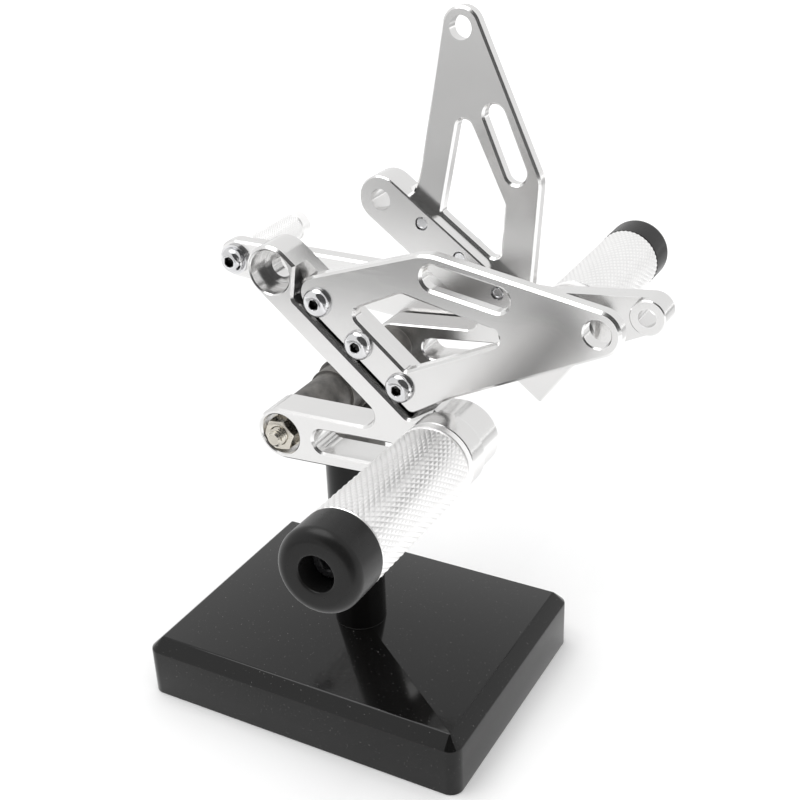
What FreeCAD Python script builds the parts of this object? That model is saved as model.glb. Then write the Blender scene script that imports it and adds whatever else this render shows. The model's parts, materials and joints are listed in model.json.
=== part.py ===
import FreeCAD, Part
import math
import os
import re
import Sketcher

V3 = FreeCAD.Vector

# Sizes in millimetres and degrees. The origin is the middle of the base's underside,
# +X runs to the rear of the motorcycle, -Y is its left side and +Z is up.
SIZES = [
    ("base_long", 134.0, "display base along X"),
    ("base_wide", 102.2, "display base along Y"),
    ("base_tall", 24.2, "display base height"),
    ("base_corner", 5.0, "upright corner radius"),
    ("base_bevel", 4.6, "bevel round the top"),
    ("post_dia", 20.0, "upright post"),
    ("post_socket", 14.0, "how far the post enters the head"),
    ("head_wall", 2.5, "wall of the head round the post"),
    ("base_stud_dia", 8.0, "threaded stud that holds the post"),
    ("base_stud_grip", 18.0, "its length in the base and in the post"),
    ("stud_x", 0.8, "cross bolt axis, along X"),
    ("stud_z", 126.9, "cross bolt axis height"),
    ("stud_dia", 6.0, "cross bolt"),
    ("stud_tail", 3.3, "thread standing out of the nut"),
    ("nut_flats", 10.0, "nut and bolt head across flats"),
    ("nut_tall", 5.2, "nut height"),
    ("head_tall", 4.0, "cross bolt head height"),
    ("stud_washer_dia", 12.4, "washer under nut and head"),
    ("washer_thick", 1.0, "plain washers"),
    ("sleeve_dia", 16.0, "sleeve between the two hangers"),
    ("collar_dia", 17.8, "collars beside the head's barrel"),
    ("collar_wide", 7.0, "width of each collar"),
    ("tee_dia", 20.4, "cross barrel of the head"),
    ("tee_long", 10.0, "length of that barrel"),
    ("saddle", 1.0, "how far the barrel sinks into the socket's roof"),
    ("head_roof", 3.8, "roof of the socket over the post"),
    ("gauge", 65.0, "space between the two hangers"),
    ("hanger_thick", 12.5, "hanger plate"),
    ("recess_deep", 7.0, "seat for the adapter plate"),
    ("plate_thick", 5.0, "adapter plate"),
    ("edge_bevel", 0.8, "bevel on the edges of hangers and adapters"),
    ("inner_bevel", 0.5, "bevel on the hangers' inner edges"),
    ("bore_bevel", 0.4, "bevel on their holes"),
    ("set_turn", 3.87, "right set turned up about the cross bolt"),
    ("beam_x", 30.53, "middle plate screw from the cross bolt, X"),
    ("beam_z", 36.79, "middle plate screw from the cross bolt, Z"),
    ("beam_angle", 40.25, "fall of the beam towards the rear"),
    ("screw_pitch", 18.4, "adapter screws"),
    ("screw_v", 0.6, "adapter screws across the beam"),
    ("plate_screw_dia", 5.0, "adapter screw thread"),
    ("plate_head_dia", 9.5, "adapter screw head"),
    ("plate_head_tall", 2.75, "adapter screw head height"),
    ("plate_socket", 3.0, "its hexagon socket"),
    ("eye_u", -35.7, "front eye along the beam"),
    ("eye_v", -3.55, "front eye across the beam"),
    ("eye_dia", 17.3, "front eye"),
    ("eye_bore_dia", 8.0, "front eye through hole"),
    ("counterbore_dia", 14.4, "counterbores of the eyes"),
    ("eye_bore_deep", 6.0, "front eye counterbore depth"),
    ("eye_step_dia", 11.2, "step below that counterbore"),
    ("eye_step_deep", 1.5, "depth of the step"),
    ("stud_bore_deep", 5.0, "rear eye counterbore depth"),
    ("stud_eye_dia", 18.2, "eye round the cross bolt"),
    ("beam_top", 5.2, "upper edge of the beam"),
    ("rail_v", -4.6, "upper edge of the rail under the plate"),
    ("seat_gap", 0.5, "gap between rail and plate"),
    ("seat_front_u", -24.75, "front corner of the plate's seat"),
    ("seat_front_round", 2.0, "its rounding"),
    ("seat_rear_u", 27.5, "rear corner of the plate's seat"),
    ("seat_rear_round", 2.6, "its rounding"),
    ("seat_open_front_u", -34.6, "where the seat runs out at the front"),
    ("seat_open_rear_u", 32.6, "where the seat runs out at the rear"),
    ("seat_open_v", 11.5, "height of both run-outs"),
    ("beam_end_u", 32.2, "end of the beam's upper edge"),
    ("beam_end_round", 1.5, "its rounding on the left hanger"),
    ("beam_end_hollow", 4.0, "its rounding on the right hanger"),
    ("crotch_x", 43.1, "corner between beam and arm, X from the cross bolt"),
    ("crotch_z", 10.2, "corner between beam and arm, Z from the cross bolt"),
    ("crotch_round", 4.3, "rounding of that corner"),
    ("arm_foot_x", 34.0, "bend of the left arm's lower edge, X"),
    ("arm_foot_z", -7.4, "bend of the left arm's lower edge, Z"),
    ("arm_foot_round", 30.0, "rounding of that bend"),
    ("heel_x", 49.4, "bend of the right arm's lower edge, X"),
    ("heel_z", -7.0, "bend of the right arm's lower edge, Z"),
    ("heel_round", 3.0, "rounding of that bend"),
    ("leg_step_u", 38.0, "shoulder above the right hanger's end"),
    ("leg_step_round", 5.0, "hollow rounding of the shoulder"),
    ("peg_u", 42.2, "footpeg bolt along the beam"),
    ("peg_v", -0.96, "footpeg bolt across the beam"),
    ("peg_eye_dia", 23.0, "hanger end round the footpeg bolt"),
    ("leg_u", 55.5, "square end of the right hanger"),
    ("leg_v", -21.5, "foot of the right hanger"),
    ("leg_foot_round", 1.0, "rounding of the foot's corner"),
    ("leg_top_round", 8.0, "rounding of the end's upper corner"),
    ("slot_high", 8.3, "slot in the arm"),
    ("slot_front_x", 16.7, "front end of the slot, X"),
    ("slot_front_z", 0.6, "front end of the slot, Z"),
    ("slot_rear_x", 41.5, "rear end of the slot, X"),
    ("slot_rear_z", 1.6, "rear end of the slot, Z"),
    ("apex_u", 47.7, "frame bolt hole along the beam"),
    ("apex_v", 63.6, "frame bolt hole across the beam"),
    ("apex_bore_dia", 8.2, "frame bolt hole"),
    ("apex_dia", 14.2, "plate tip round that hole"),
    ("plate_front_u", -20.4, "front corner of the adapter plate"),
    ("plate_front_round", 6.0, "its rounding"),
    ("plate_rear_u", 26.8, "rear corner of the adapter plate"),
    ("plate_rear_round", 3.0, "its rounding"),
    ("plate_waist_u", 31.9, "bend above the rear corner, along"),
    ("plate_waist_v", 11.5, "bend above the rear corner, across"),
    ("plate_waist_round", 20.0, "its rounding"),
    ("plate_top_u", -3.3, "upper corner of the plate, along"),
    ("plate_top_v", 41.4, "upper corner of the plate, across"),
    ("plate_top_round", 16.0, "its rounding"),
    ("window_front_u", -9.5, "window, front lower corner"),
    ("window_front_v", 6.2, "window, lower edge"),
    ("window_rear_u", 16.0, "window, rear lower corner"),
    ("window_tip_u", 33.4, "window, rear upper corner, along"),
    ("window_tip_v", 43.8, "window, rear upper corner, across"),
    ("window_tip_round", 2.9, "its rounding"),
    ("window_top_u", -1.0, "window, front upper corner, along"),
    ("window_top_v", 25.0, "window, front upper corner, across"),
    ("window_round", 4.0, "window corner rounding"),
    ("right_front_u", -19.4, "right plate, front corner"),
    ("right_front_round", 8.0, "its rounding"),
    ("right_waist_u", 30.4, "right plate, bend above the rear corner, along"),
    ("right_top_u", -5.4, "right plate, upper corner, along"),
    ("right_top_v", 41.6, "right plate, upper corner, across"),
    ("right_top_round", 12.0, "its rounding"),
    ("right_window_front_u", -12.3, "right window, front lower corner"),
    ("right_window_top_u", -0.3, "right window, front upper corner, along"),
    ("right_window_top_v", 25.5, "right window, front upper corner, across"),
    ("plate_slot_front_u", 3.3, "slot of the plate, front end along"),
    ("plate_slot_front_v", 37.3, "slot of the plate, front end across"),
    ("plate_slot_rear_u", 21.0, "slot of the plate, rear end along"),
    ("plate_slot_rear_v", 47.9, "slot of the plate, rear end across"),
    ("plate_slot_dia", 7.8, "slot in the adapter plate"),
    ("peg_dia", 25.0, "footpeg"),
    ("peg_reach", 67.5, "hanger face to the end cap"),
    ("peg_tilt_x", 0.040, "lean of the pegs to the rear per unit outwards"),
    ("peg_tilt_z", 0.064, "lean of the pegs upwards per unit outwards"),
    ("peg_neck", 4.3, "smooth band before the knurl"),
    ("peg_bore_deep", 24.0, "threaded hole in each end of a peg"),
    ("peg_bolt_dia", 8.0, "footpeg bolt"),
    ("peg_bolt_head", 13.0, "its head"),
    ("peg_bolt_sink", 3.0, "how far the head sits in the hanger"),
    ("spacer_long", 8.0, "collar between left hanger and peg"),
    ("cap_long", 12.3, "end cap"),
    ("cap_mouth_dia", 11.4, "hole in the end cap"),
    ("cap_web", 3.2, "floor of the end cap"),
    ("cap_rim", 2.6, "rounding of the end cap"),
    ("cap_bolt_dia", 6.0, "end cap screw"),
    ("cap_head_dia", 10.0, "its head"),
    ("cap_head_tall", 3.6, "height of that head"),
    ("lever_wide", 11.4, "lever at the hub and the rod eye"),
    ("lever_bar", 7.0, "lever bar"),
    ("lever_step", 1.05, "hub standing proud of the bar, inner side"),
    ("arm_step", 3.0, "hub and rod eye standing proud of the arm, inner side"),
    ("hub_dia", 25.0, "lever hub"),
    ("bush_dia", 16.0, "bush in the hub"),
    ("thrust_thick", 0.5, "thrust washers"),
    ("run_gap", 0.05, "running clearance"),
    ("fit_gap", 0.05, "clearance of screws and pins in their holes"),
    ("rod_x", 32.7, "brake rod eye from the pivot, X"),
    ("rod_z", 9.45, "brake rod eye from the pivot, Z"),
    ("rod_eye_dia", 13.2, "brake rod eye"),
    ("rod_bore_dia", 6.8, "hole in the brake rod eye"),
    ("toe_x", -141.7, "toe peg from the pivot, X"),
    ("toe_z", 5.4, "toe peg from the pivot, Z"),
    ("toe_boss_dia", 15.6, "front end of the lever"),
    ("toe_dia", 13.0, "toe peg"),
    ("toe_long", 41.0, "toe peg length"),
    ("toe_screw_dia", 6.0, "toe peg screw"),
    ("toe_screw_grip", 18.0, "its length in the toe peg"),
    ("toe_bore_deep", 20.0, "threaded hole in the toe peg"),
    ("toe_socket", 4.0, "its hexagon socket"),
    ("toe_head_dia", 10.5, "toe peg screw head"),
    ("toe_head_tall", 3.3, "its height"),
    ("toe_washer_dia", 12.4, "washer under it"),
    ("toe_washer_thick", 1.6, "its thickness"),
]

os.makedirs("parts", exist_ok=True)
doc = FreeCAD.newDocument("footrest_kit")
sheet = doc.addObject("Spreadsheet::Sheet", "Sizes")
for row, (alias, value, note) in enumerate(SIZES, 1):
    sheet.set(f"A{row}", alias)
    sheet.set(f"B{row}", str(value))
    sheet.set(f"C{row}", note)
    sheet.setAlias(f"B{row}", alias)
doc.recompute()
S = {alias: float(sheet.get(alias)) for alias, value, note in SIZES}

LEFT = 1
RIGHT = -1
nodes = []


def bind(thing, prop, text):
    """Bind a property to the sheet: words in the text are the sheet's aliases."""
    thing.setExpression(prop, re.sub(r"[a-z]+(_[a-z]+)*", lambda m: "Sizes." + m[0], text))


def new_body(name, base=V3(), turn=FreeCAD.Rotation()):
    body = doc.addObject("PartDesign::Body", name)
    body.Label = name
    body.Placement = FreeCAD.Placement(base, turn)
    nodes.append(body)
    return body


def flat(body, plane, name, offset="0", at=(0.0, 0.0)):
    """An empty sketch on one of the body's own planes, moved out along its normal."""
    support = [f for f in body.Origin.OriginFeatures if f.Role == plane][0]
    sketch = body.newObject("Sketcher::SketchObject", name)
    sketch.AttachmentSupport = (support, [""])
    sketch.MapMode = "FlatFace"
    sketch.AttachmentOffset = FreeCAD.Placement(V3(at[0], at[1], 0), FreeCAD.Rotation())
    bind(sketch, "AttachmentOffset.Base.z", offset)
    return sketch


def feature(body, kind, name, sketch, length=None, back=False):
    made = body.newObject("PartDesign::" + kind, name)
    made.Profile = sketch
    if length is not None:
        bind(made, "Length", length)
    made.Reversed = back
    sketch.Visibility = False
    return made


def tangent(one, two):
    """Ends of the line that leaves one circle and meets the next, both on its left."""
    (ax, ay, ar), (bx, by, br) = one[:3], two[:3]
    dx, dy = bx - ax, by - ay
    far = math.hypot(dx, dy)
    along = (ar - br) / far
    across = math.sqrt(1 - along * along)
    nx = (dx * along + dy * across) / far
    ny = (dy * along - dx * across) / far
    return (ax + ar * nx, ay + ar * ny), (bx + br * nx, by + br * ny)


def belt(items):
    """A closed outline, anticlockwise. An item is ("round", x, y, r), an eye that the
    outline wraps, or ("corner", x, y, r), a corner with a rounding."""
    rounds = [(x, y, r if kind == "round" else 0.0) for kind, x, y, r in items]
    count = len(items)
    lines = [list(tangent(rounds[i], rounds[(i + 1) % count])) for i in range(count)]
    arcs = []
    for i, (kind, x, y, r) in enumerate(items):
        before, after = lines[i - 1], lines[i]
        if kind == "corner" and r > 0:
            u1 = V3(before[1][0] - before[0][0], before[1][1] - before[0][1], 0).normalize()
            u2 = V3(after[1][0] - after[0][0], after[1][1] - after[0][1], 0).normalize()
            turn = u1.getAngle(u2)
            cut = r * math.tan(turn / 2)
            start, end = V3(x, y, 0) - u1 * cut, V3(x, y, 0) + u2 * cut
            side = 1 if u1.cross(u2).z > 0 else -1
            middle = start + V3(-u1.y, u1.x, 0) * (r * side)
            before[1], after[0] = (start.x, start.y), (end.x, end.y)
        elif kind == "round":
            start, end = V3(*before[1], 0), V3(*after[0], 0)
            middle, side = V3(x, y, 0), 1
        else:
            continue
        first, last = (start, end) if side > 0 else (end, start)
        a = math.atan2(first.y - middle.y, first.x - middle.x)
        b = math.atan2(last.y - middle.y, last.x - middle.x)
        ring = Part.Circle(middle, V3(0, 0, 1), r)
        arcs.append(Part.ArcOfCircle(ring, a, b if b > a else b + 2 * math.pi))
    shapes = [Part.LineSegment(V3(*a, 0), V3(*b, 0)) for a, b in lines]
    return shapes + arcs


def outline(body, kind, name, items, offset, length, side):
    sketch = flat(body, "XZ_Plane", name + "_lines", offset)
    sketch.addGeometry(belt(items), False)
    return feature(body, kind, name, sketch, length, side == RIGHT)


def disc(body, kind, name, at, offset, length, dia, side=LEFT, plane="XZ_Plane"):
    """A round boss or hole: its sketch holds one circle with a bound diameter."""
    sketch = flat(body, plane, name + "_lines", offset, at)
    sketch.addGeometry(Part.Circle(V3(), V3(0, 0, 1), 1.0), False)
    sketch.addConstraint(Sketcher.Constraint("Coincident", 0, 3, -1, 1))
    sketch.addConstraint(Sketcher.Constraint("Diameter", 0, 2.0))
    bind(sketch, "Constraints[1]", dia)
    return feature(body, kind, name, sketch, length, side == RIGHT)


def hexagon(body, kind, name, flats, offset, length, back=False):
    sketch = flat(body, "XY_Plane", name + "_lines", offset)
    ring = [V3(flats / math.sqrt(3), 0, 0)]
    turn = FreeCAD.Rotation(V3(0, 0, 1), 60)
    for i in range(5):
        ring.append(turn.multVec(ring[-1]))
    for i in range(6):
        sketch.addGeometry(Part.LineSegment(ring[i - 1], ring[i]), False)
    return feature(body, kind, name, sketch, length, back)


def turned(body, items, name="turned"):
    """A solid of revolution about the body's Z axis from (radius, height) corners."""
    sketch = flat(body, "XZ_Plane", name + "_lines")
    sketch.addGeometry(belt(items), False)
    made = feature(body, "Revolution", name, sketch)
    made.ReferenceAxis = (sketch, ["V_Axis"])
    made.Angle = 360
    return made


def corners(*points):
    return [("corner", p[0], p[1], p[2] if len(p) > 2 else 0.0) for p in points]


def edges(made, test, rings):
    """Names of a feature's edges whose every point passes the test: full circles if
    rings is true, and the rest if not."""
    names = []
    for i, edge in enumerate(made.Shape.Edges, 1):
        if edge.isClosed() != rings:
            continue
        ends = [edge.valueAt(t) for t in (edge.FirstParameter, edge.LastParameter)]
        ends.append(edge.valueAt((edge.FirstParameter + edge.LastParameter) / 2))
        if all(test(p) for p in ends):
            names.append(f"Edge{i}")
    return names


def dress(body, kind, name, made, test, size, rings=False):
    doc.recompute()
    done = body.newObject("PartDesign::" + kind, name)
    done.Base = (made, edges(made, test, rings))
    bind(done, "Radius" if kind == "Fillet" else "Size", size)
    return done


def tube(name, base, turn, outer, inner, long):
    """A plain ring or tube standing on its own base point."""
    body = new_body(name, base, turn)
    disc(body, "Pad", "wall", (0, 0), "0", long, outer, plane="XY_Plane")
    disc(body, "Pocket", "bore", (0, 0), "0", long, inner, RIGHT, "XY_Plane")
    return body


def screw(name, base, turn, head, tall, dome, thread, long, flats):
    """A socket screw: its head's underside is the base point and the head is above."""
    body = new_body(name, base, turn)
    shank, rim, top = S[thread] / 2, S[head] / 2, S[tall]
    crown = [(rim, top * 0.35), (rim * 0.6, top, top * 0.9)] if dome else [(rim, top, 0.5)]
    turned(body, corners((0, -long), (shank, -long), (shank, 0), (rim, 0), *crown, (0, top)))
    hexagon(body, "Pocket", "socket", flats, tall, tall + " * 0.6")
    return body


# Places in a set: x and z from the cross bolt, in the beam's own directions.
lean = math.radians(S["beam_angle"])


def beam(u, v):
    x = S["beam_x"] + u * math.cos(lean) + v * math.sin(lean)
    z = S["beam_z"] - u * math.sin(lean) + v * math.cos(lean)
    return x, z


def screw_at(i):
    return beam(i * S["screw_pitch"], S["screw_v"])


def in_beam(items, flip=1):
    if flip < 0:
        items = items[::-1]
    return [(kind, *beam(u * flip, v), r) for kind, u, v, r in items]


def set_frame(side):
    angle = 0.0 if side == LEFT else -S["set_turn"]
    return FreeCAD.Placement(
        V3(S["stud_x"], 0, S["stud_z"]), FreeCAD.Rotation(V3(0, 1, 0), angle))


def outward(side):
    return V3(0, -side, 0)


def in_set(side, x, z, out):
    """World place of a point of a set, at a distance out from the middle plane."""
    return set_frame(side).multVec(V3(x, -side * out, z))


inner_face = S["gauge"] / 2
outer_face = inner_face + S["hanger_thick"]
seat_face = outer_face - S["recess_deep"]
plate_face = seat_face + S["plate_thick"]
peg_at = beam(S["peg_u"], S["peg_v"])
eye_at = beam(S["eye_u"], S["eye_v"])
apex_at = beam(S["apex_u"], S["apex_v"])
OUTER = "(gauge / 2 + hanger_thick)"

# Display base: one block, bevelled round its top.
base = new_body("display_base")
sketch = flat(base, "XY_Plane", "block_lines")
half_x, half_y = S["base_long"] / 2, S["base_wide"] / 2
sketch.addGeometry(belt(corners(
    (-half_x, -half_y, S["base_corner"]), (half_x, -half_y, S["base_corner"]),
    (half_x, half_y, S["base_corner"]), (-half_x, half_y, S["base_corner"]))), False)
block = feature(base, "Pad", "block", sketch, "base_tall")
bevel = dress(base, "Chamfer", "top_bevel", block, lambda p: p.z > S["base_tall"] - 0.01, "base_bevel")
disc(base, "Pocket", "stud_hole", (0, 0), "base_tall", "base_stud_grip + 1",
     "base_stud_dia + 2 * fit_gap", plane="XY_Plane")

# The threaded stud that joins post and base.
post_stud = new_body("post_stud", V3(0, 0, S["base_tall"] - S["base_stud_grip"]))
disc(post_stud, "Pad", "rod", (0, 0), "0", "2 * base_stud_grip", "base_stud_dia", plane="XY_Plane")

# Post, from the base to the head's socket.
POST_TOP = "(stud_z - tee_dia / 2 + saddle - head_roof)"
post = new_body("display_post", V3(0, 0, S["base_tall"]))
disc(post, "Pad", "bar", (0, 0), "0", POST_TOP + " - base_tall", "post_dia", plane="XY_Plane")
disc(post, "Pocket", "thread", (0, 0), "0", "base_stud_grip + 1", "base_stud_dia + 2 * fit_gap",
     RIGHT, "XY_Plane")

# Head: an upright socket over the post and a short cross barrel on its roof.
head = new_body("post_head", V3(0, 0, S["stud_z"]))
disc(head, "Pad", "socket", (0, 0), POST_TOP + " - post_socket - stud_z", "post_socket + head_roof",
     "post_dia + 2 * head_wall", plane="XY_Plane")
disc(head, "Pad", "barrel", (S["stud_x"], 0), "-tee_long / 2", "tee_long", "tee_dia")
disc(head, "Pocket", "post_bore", (0, 0), POST_TOP + " - post_socket - stud_z", "post_socket",
     "post_dia + 2 * fit_gap", RIGHT, "XY_Plane")
disc(head, "Pocket", "sleeve_bore", (S["stud_x"], 0), "tee_long / 2", "tee_long",
     "sleeve_dia + 2 * fit_gap")

# Sleeve between the hangers, its collars, and the cross bolt that clamps them.
stud = V3(S["stud_x"], 0, S["stud_z"])
to_left = FreeCAD.Rotation(V3(0, 0, 1), V3(0, -1, 0))
to_right = FreeCAD.Rotation(V3(0, 0, 1), V3(0, 1, 0))
tube("cross_sleeve", stud + V3(0, inner_face, 0), to_left, "sleeve_dia",
     "stud_dia + 2 * fit_gap", "gauge")
for name, turn, way in (("left_collar", to_left, -1), ("right_collar", to_right, 1)):
    tube(name, stud + V3(0, way * S["tee_long"] / 2, 0), turn, "collar_dia",
         "sleeve_dia + 2 * fit_gap", "collar_wide")
floor = outer_face - S["stud_bore_deep"]
seat = floor + S["washer_thick"]
washers = []
for name, turn, way in (("left_stud_washer", to_left, -1), ("right_stud_washer", to_right, 1)):
    tube(name, stud + V3(0, way * floor, 0), turn, "stud_washer_dia",
         "stud_dia + 2 * fit_gap", "washer_thick")
bolt = new_body("cross_bolt", stud + V3(0, seat, 0), to_right)
hexagon(bolt, "Pad", "head", S["nut_flats"], "0", "head_tall")
disc(bolt, "Pad", "shank", (0, 0), "0",
     "2 * (gauge / 2 + hanger_thick - stud_bore_deep + washer_thick) + nut_tall + stud_tail",
     "stud_dia", RIGHT, "XY_Plane")
nut = new_body("cross_bolt_nut", stud + V3(0, -seat, 0), to_left)
hexagon(nut, "Pad", "body", S["nut_flats"], "0", "nut_tall")
disc(nut, "Pocket", "thread", (0, 0), "0", "nut_tall", "stud_dia + 2 * fit_gap", RIGHT, "XY_Plane")


def hanger(name, side):
    """One hanger: an upper beam and a lower arm that meet at the footpeg."""
    place = set_frame(side)
    body = new_body(name, place.Base, place.Rotation)
    sign = "" if side == LEFT else "-"
    eye = S["eye_dia"] / 2
    shape = [("round", 0, 0, S["stud_eye_dia"] / 2)]
    if side == LEFT:
        shape += [("corner", S["arm_foot_x"], S["arm_foot_z"], S["arm_foot_round"]),
                  ("round", *peg_at, S["peg_eye_dia"] / 2)]
        shape += in_beam(corners((S["beam_end_u"], S["beam_top"], S["beam_end_round"])))
    else:
        foot_top = S["peg_v"] + S["peg_eye_dia"] / 2
        shape += [("corner", S["heel_x"], S["heel_z"], S["heel_round"])]
        shape += in_beam(corners(
            (S["leg_u"], S["leg_v"], S["leg_foot_round"]),
            (S["leg_u"], foot_top, S["leg_top_round"]),
            (S["leg_step_u"], foot_top, S["leg_step_round"]),
            (S["beam_end_u"], S["beam_top"], S["beam_end_hollow"])))
    shape += [("round", *eye_at, eye),
              ("corner", S["crotch_x"], S["crotch_z"], S["crotch_round"])]
    outline(body, "Pad", "plate", shape, sign + "gauge / 2", "hanger_thick", side)
    seat_shape = in_beam(corners(
        (S["seat_front_u"], S["rail_v"], S["seat_front_round"]),
        (S["seat_rear_u"], S["rail_v"], S["seat_rear_round"]),
        (S["seat_open_rear_u"], S["seat_open_v"]),
        (S["seat_open_front_u"], S["seat_open_v"])), side)
    outline(body, "Pocket", "plate_seat", seat_shape, sign + OUTER, "recess_deep", side)
    half = S["slot_high"] / 2
    outline(body, "Pocket", "arm_slot", [
        ("round", S["slot_front_x"], S["slot_front_z"], half),
        ("round", S["slot_rear_x"], S["slot_rear_z"], half)], sign + OUTER, "hanger_thick", side)
    if side == LEFT:
        disc(body, "Pocket", "eye_step", eye_at, sign + OUTER, "eye_bore_deep + eye_step_deep",
             "eye_step_dia", side)
        disc(body, "Pocket", "eye_sink", eye_at, sign + OUTER, "eye_bore_deep", "counterbore_dia", side)
    disc(body, "Pocket", "eye_bore", eye_at, sign + OUTER, "hanger_thick", "eye_bore_dia", side)
    disc(body, "Pocket", "stud_sink", (0, 0), sign + OUTER, "stud_bore_deep", "counterbore_dia", side)
    disc(body, "Pocket", "stud_bore", (0, 0), sign + OUTER, "hanger_thick",
         "stud_dia + 2 * fit_gap", side)
    disc(body, "Pocket", "peg_bore", peg_at, sign + OUTER, "hanger_thick",
         "peg_bolt_dia + 2 * fit_gap", side)
    disc(body, "Pocket", "peg_sink", peg_at, sign + "(gauge / 2 + peg_bolt_sink)",
         "peg_bolt_sink", "peg_bolt_head + 1", side)
    for i in (-1, 0, 1):
        last = disc(body, "Pocket", f"screw_hole_{i + 2}", screw_at(i),
                    sign + OUTER, "hanger_thick", "plate_screw_dia + 2 * fit_gap", side)
    edge_y, back_y = -side * outer_face, -side * inner_face
    last = dress(body, "Chamfer", "edge_bevels", last, lambda p: abs(p.y - edge_y) < 0.01, "edge_bevel")
    last = dress(body, "Chamfer", "inner_bevels", last, lambda p: abs(p.y - back_y) < 0.01, "inner_bevel")
    dress(body, "Chamfer", "bore_bevels", last, lambda p: abs(p.y - edge_y) < 0.01, "bore_bevel", True)
    return body


def adapter(name, side):
    """The plate that carries a hanger on the frame: the right one is turned over."""
    place = set_frame(side)
    body = new_body(name, place.Base, place.Rotation)
    sign = "" if side == LEFT else "-"
    bottom = S["rail_v"] + S["seat_gap"]
    own, wide = ("plate_", "window_") if side == LEFT else ("right_", "right_window_")
    front = S[own + "front_round"]
    shape = in_beam([
        ("round", S[own + "front_u"], bottom + front, front),
        ("corner", S["plate_rear_u"], bottom, S["plate_rear_round"]),
        ("corner", S[own + "waist_u"], S["plate_waist_v"], S["plate_waist_round"]),
        ("round", S["apex_u"], S["apex_v"], S["apex_dia"] / 2),
        ("corner", S[own + "top_u"], S[own + "top_v"], S[own + "top_round"]),
    ], side)
    outline(body, "Pad", "plate", shape,
            sign + "(gauge / 2 + hanger_thick - recess_deep)", "plate_thick", side)
    face = sign + "(gauge / 2 + hanger_thick - recess_deep + plate_thick)"
    sharp = S["window_round"]
    window = in_beam(corners(
        (S[wide + "front_u"], S["window_front_v"], 0.75 * sharp),
        (S["window_rear_u"], S["window_front_v"], 0.4 * sharp),
        (S["window_tip_u"], S["window_tip_v"], S["window_tip_round"]),
        (S[wide + "top_u"], S[wide + "top_v"], sharp)), side)
    outline(body, "Pocket", "window", window, face, "plate_thick", side)
    half = S["plate_slot_dia"] / 2
    slot = in_beam([
        ("round", S["plate_slot_front_u"], S["plate_slot_front_v"], half),
        ("round", S["plate_slot_rear_u"], S["plate_slot_rear_v"], half)], side)
    outline(body, "Pocket", "slot", slot, face, "plate_thick", side)
    tip = beam(side * S["apex_u"], S["apex_v"])
    disc(body, "Pocket", "frame_bore", tip, face, "plate_thick", "apex_bore_dia", side)
    for i in (-1, 0, 1):
        last = disc(body, "Pocket", f"screw_hole_{i + 2}", screw_at(i),
                    face, "plate_thick", "plate_screw_dia + 2 * fit_gap", side)
    face_y, back_y = -side * plate_face, -side * seat_face
    last = dress(body, "Chamfer", "edge_bevels", last, lambda p: abs(p.y - face_y) < 0.01, "edge_bevel")
    last = dress(body, "Chamfer", "inner_bevels", last, lambda p: abs(p.y - back_y) < 0.01, "edge_bevel")
    dress(body, "Chamfer", "bore_bevels", last,
          lambda p: abs(p.y - face_y) < 0.01 and math.hypot(p.x - tip[0], p.z - tip[1]) < S["apex_bore_dia"],
          "bore_bevel", True)
    return body


def peg_frame(side, start):
    """Frame of a footpeg: Z along the raised peg, X in the plane of its tilt."""
    axis = V3(S["peg_tilt_x"], -side, S["peg_tilt_z"])
    base = in_set(side, *peg_at, outer_face + start)
    axis = axis.normalize()
    face = outward(side)
    across = (face - axis * face.dot(axis)).normalize()
    turn = FreeCAD.Rotation(across, axis.cross(across), axis, "ZXY")
    return FreeCAD.Placement(base, turn), face.getAngle(axis)


def footpeg(name, side, start):
    """A knurled footpeg whose inner end is cut square to the hanger."""
    place, angle = peg_frame(side, start)
    body = new_body(name, place.Base, place.Rotation)
    radius = S["peg_dia"] / 2
    end = S["peg_reach"] - start
    slant = radius * math.tan(angle)
    neck = S["peg_neck"]
    turned(body, corners(
        (0, -slant), (radius, -slant), (radius, neck - 0.8), (radius - 0.7, neck - 0.4),
        (radius, neck), (radius, end - 0.5), (radius - 0.5, end), (0, end)))
    cut = flat(body, "XZ_Plane", "base_cut_lines", "-2 * peg_dia")
    cut.addGeometry(belt(corners(
        (-2 * radius, -8 * slant), (2 * radius, -8 * slant),
        (2 * radius, -2 * slant), (-2 * radius, 2 * slant))), False)
    feature(body, "Pocket", "base_cut", cut, "4 * peg_dia", True)
    disc(body, "Pocket", "cap_thread", (0, 0), f"peg_reach - {start}", "peg_bore_deep",
         "cap_bolt_dia + 2 * fit_gap", LEFT, "XY_Plane")
    drill = flat(body, "XZ_Plane", "bolt_thread_lines")
    drill.AttachmentOffset = FreeCAD.Placement(
        V3(), FreeCAD.Rotation(V3(0, 0, 1), -math.degrees(angle)))
    long = S["peg_bore_deep"]
    bore = S["peg_bolt_dia"] / 2 + S["fit_gap"]
    drill.addGeometry(belt(corners((0, -5), (bore, -5), (bore, long), (0, long))), False)
    made = body.newObject("PartDesign::Groove", "bolt_thread")
    made.Profile = drill
    made.ReferenceAxis = (drill, ["V_Axis"])
    made.Angle = 360
    return body


def end_cap(name, side, start):
    place, angle = peg_frame(side, start)
    axis = place.Rotation.multVec(V3(0, 0, 1))
    body = new_body(name, place.Base + axis * (S["peg_reach"] - start), place.Rotation)
    radius, long, rim = S["peg_dia"] / 2, S["cap_long"], S["cap_rim"]
    mouth = S["cap_mouth_dia"] / 2
    hole = S["cap_bolt_dia"] / 2 + S["fit_gap"]
    turned(body, corners(
        (hole, 0), (radius, 0, 0.3), (radius, long, rim), (mouth + 1.2, long, 0.6),
        (mouth, long - 1.4, 0.8), (mouth, S["cap_web"]), (hole, S["cap_web"])))
    return body


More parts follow.
